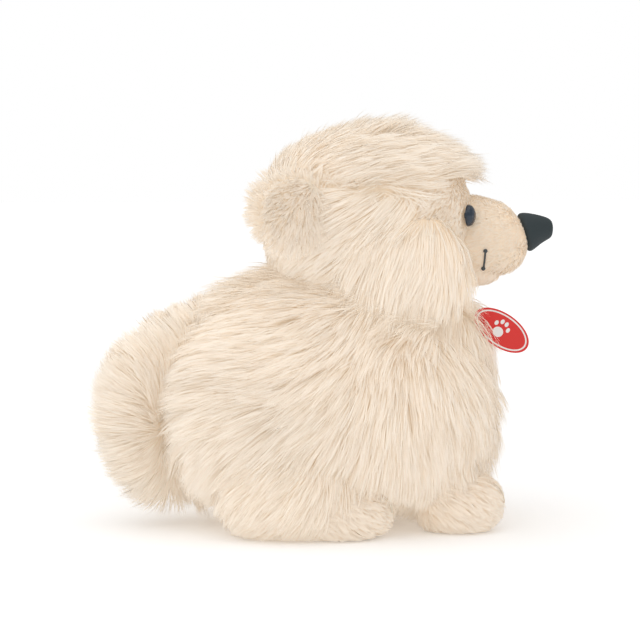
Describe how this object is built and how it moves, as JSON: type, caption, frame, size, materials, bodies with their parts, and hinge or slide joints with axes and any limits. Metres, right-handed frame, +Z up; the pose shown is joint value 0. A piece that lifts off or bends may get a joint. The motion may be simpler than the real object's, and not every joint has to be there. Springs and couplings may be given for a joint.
{
  "type": "plush dog",
  "caption": "Crouching long-pile plush dog with a turning head, flapping ears, wagging tail plume and a woven chest label.",
  "frame": {"origin": "on the floor, under the middle of the whole toy's box", "axes": "+X towards the nose, +Y towards the dog's left side, +Z up"},
  "size_m": [0.228, 0.126, 0.1985],
  "materials": {
    "long_pile_cream": "matte",
    "medium_pile_cream": "matte",
    "short_pile_cream": "matte",
    "sole_cloth": "matte",
    "fibre_fill": "matte",
    "pouch_cloth": "matte",
    "pellet_plastic": "satin",
    "cream_thread": "matte",
    "grey_thread": "satin",
    "white_satin": "satin",
    "nose_velour": "matte",
    "eye_plastic": "gloss",
    "washer_plastic": "satin",
    "red_label_weave": "satin"
  },
  "bodies": {
    "torso": {"torso_side_left": "long_pile_cream", "torso_side_right": "long_pile_cream", "belly_gusset": "long_pile_cream", "chest_bib": "long_pile_cream", "base_panel": "medium_pile_cream", "torso_stuffing": "fibre_fill", "bean_pouch": "pouch_cloth", "bean_pellets": "pellet_plastic", "closing_seam": "cream_thread", "care_label": "white_satin", "haunch_left": "long_pile_cream", "haunch_right": "long_pile_cream", "front_leg_left": "long_pile_cream", "front_leg_right": "long_pile_cream", "front_paw_left": "short_pile_cream", "front_paw_right": "short_pile_cream", "rear_paw_left": "medium_pile_cream", "rear_paw_right": "medium_pile_cream", "front_sole_left": "sole_cloth", "front_sole_right": "sole_cloth", "rear_sole_left": "sole_cloth", "rear_sole_right": "sole_cloth", "front_paw_stuffing_left": "fibre_fill", "front_paw_stuffing_right": "fibre_fill", "rear_paw_stuffing_left": "fibre_fill", "rear_paw_stuffing_right": "fibre_fill", "toe_stitches": "cream_thread"},
    "neck": {"neck_stuffing": "fibre_fill"},
    "head": {"head_side_left": "long_pile_cream", "head_side_right": "long_pile_cream", "crown_gusset": "long_pile_cream", "face_mask": "medium_pile_cream", "muzzle": "short_pile_cream", "chin": "short_pile_cream", "nose": "nose_velour", "mouth_stitches": "grey_thread", "eye_left": "eye_plastic", "eye_right": "eye_plastic", "eye_washer_left": "washer_plastic", "eye_washer_right": "washer_plastic", "head_stuffing": "fibre_fill", "cheek_ruff_left": "long_pile_cream", "cheek_ruff_right": "long_pile_cream"},
    "ear_left": {"ear_back_left": "long_pile_cream", "ear_lining_left": "short_pile_cream"},
    "ear_right": {"ear_back_right": "long_pile_cream", "ear_lining_right": "short_pile_cream"},
    "tail_root": {"tail_root_stuffing": "fibre_fill"},
    "tail": {"tail_panel_left": "long_pile_cream", "tail_panel_right": "long_pile_cream", "tail_stuffing": "fibre_fill"},
    "label": {"chest_label": "red_label_weave"}
  },
  "joints": [
    {"name": "head_turn", "type": "hinge", "parent": "torso", "child": "neck", "pos_m": [0.02, 0, 0.118], "axis": [0, 0, 1], "range_deg": [-20, 20], "stiffness_Nm_per_rad": 0.5},
    {"name": "head_nod", "type": "hinge", "parent": "neck", "child": "head", "pos_m": [0.02, 0, 0.118], "axis": [0, 1, 0], "range_deg": [-10, 10], "stiffness_Nm_per_rad": 1},
    {"name": "ear_left_flap", "type": "hinge", "parent": "head", "child": "ear_left", "pos_m": [-0.003, 0.038, 0.16], "axis": [0, 0, -1], "range_deg": [-10, 20], "stiffness_Nm_per_rad": 0.02},
    {"name": "ear_right_flap", "type": "hinge", "parent": "head", "child": "ear_right", "pos_m": [-0.003, -0.038, 0.16], "axis": [0, 0, 1], "range_deg": [-10, 20], "stiffness_Nm_per_rad": 0.02},
    {"name": "tail_wag", "type": "hinge", "parent": "torso", "child": "tail_root", "pos_m": [-0.078, 0, 0.044], "axis": [0, 0, 1], "range_deg": [-12, 12], "stiffness_Nm_per_rad": 0.3},
    {"name": "tail_lift", "type": "hinge", "parent": "tail_root", "child": "tail", "pos_m": [-0.078, 0, 0.044], "axis": [0, -1, 0], "range_deg": [0, 25], "stiffness_Nm_per_rad": 0.4},
    {"name": "label_flap", "type": "hinge", "parent": "torso", "child": "label", "pos_m": [0.07439, -0.019, 0.10918], "axis": [0.5736, 0, 0.8191], "range_deg": [-25, 25], "stiffness_Nm_per_rad": 0.003}
  ]
}
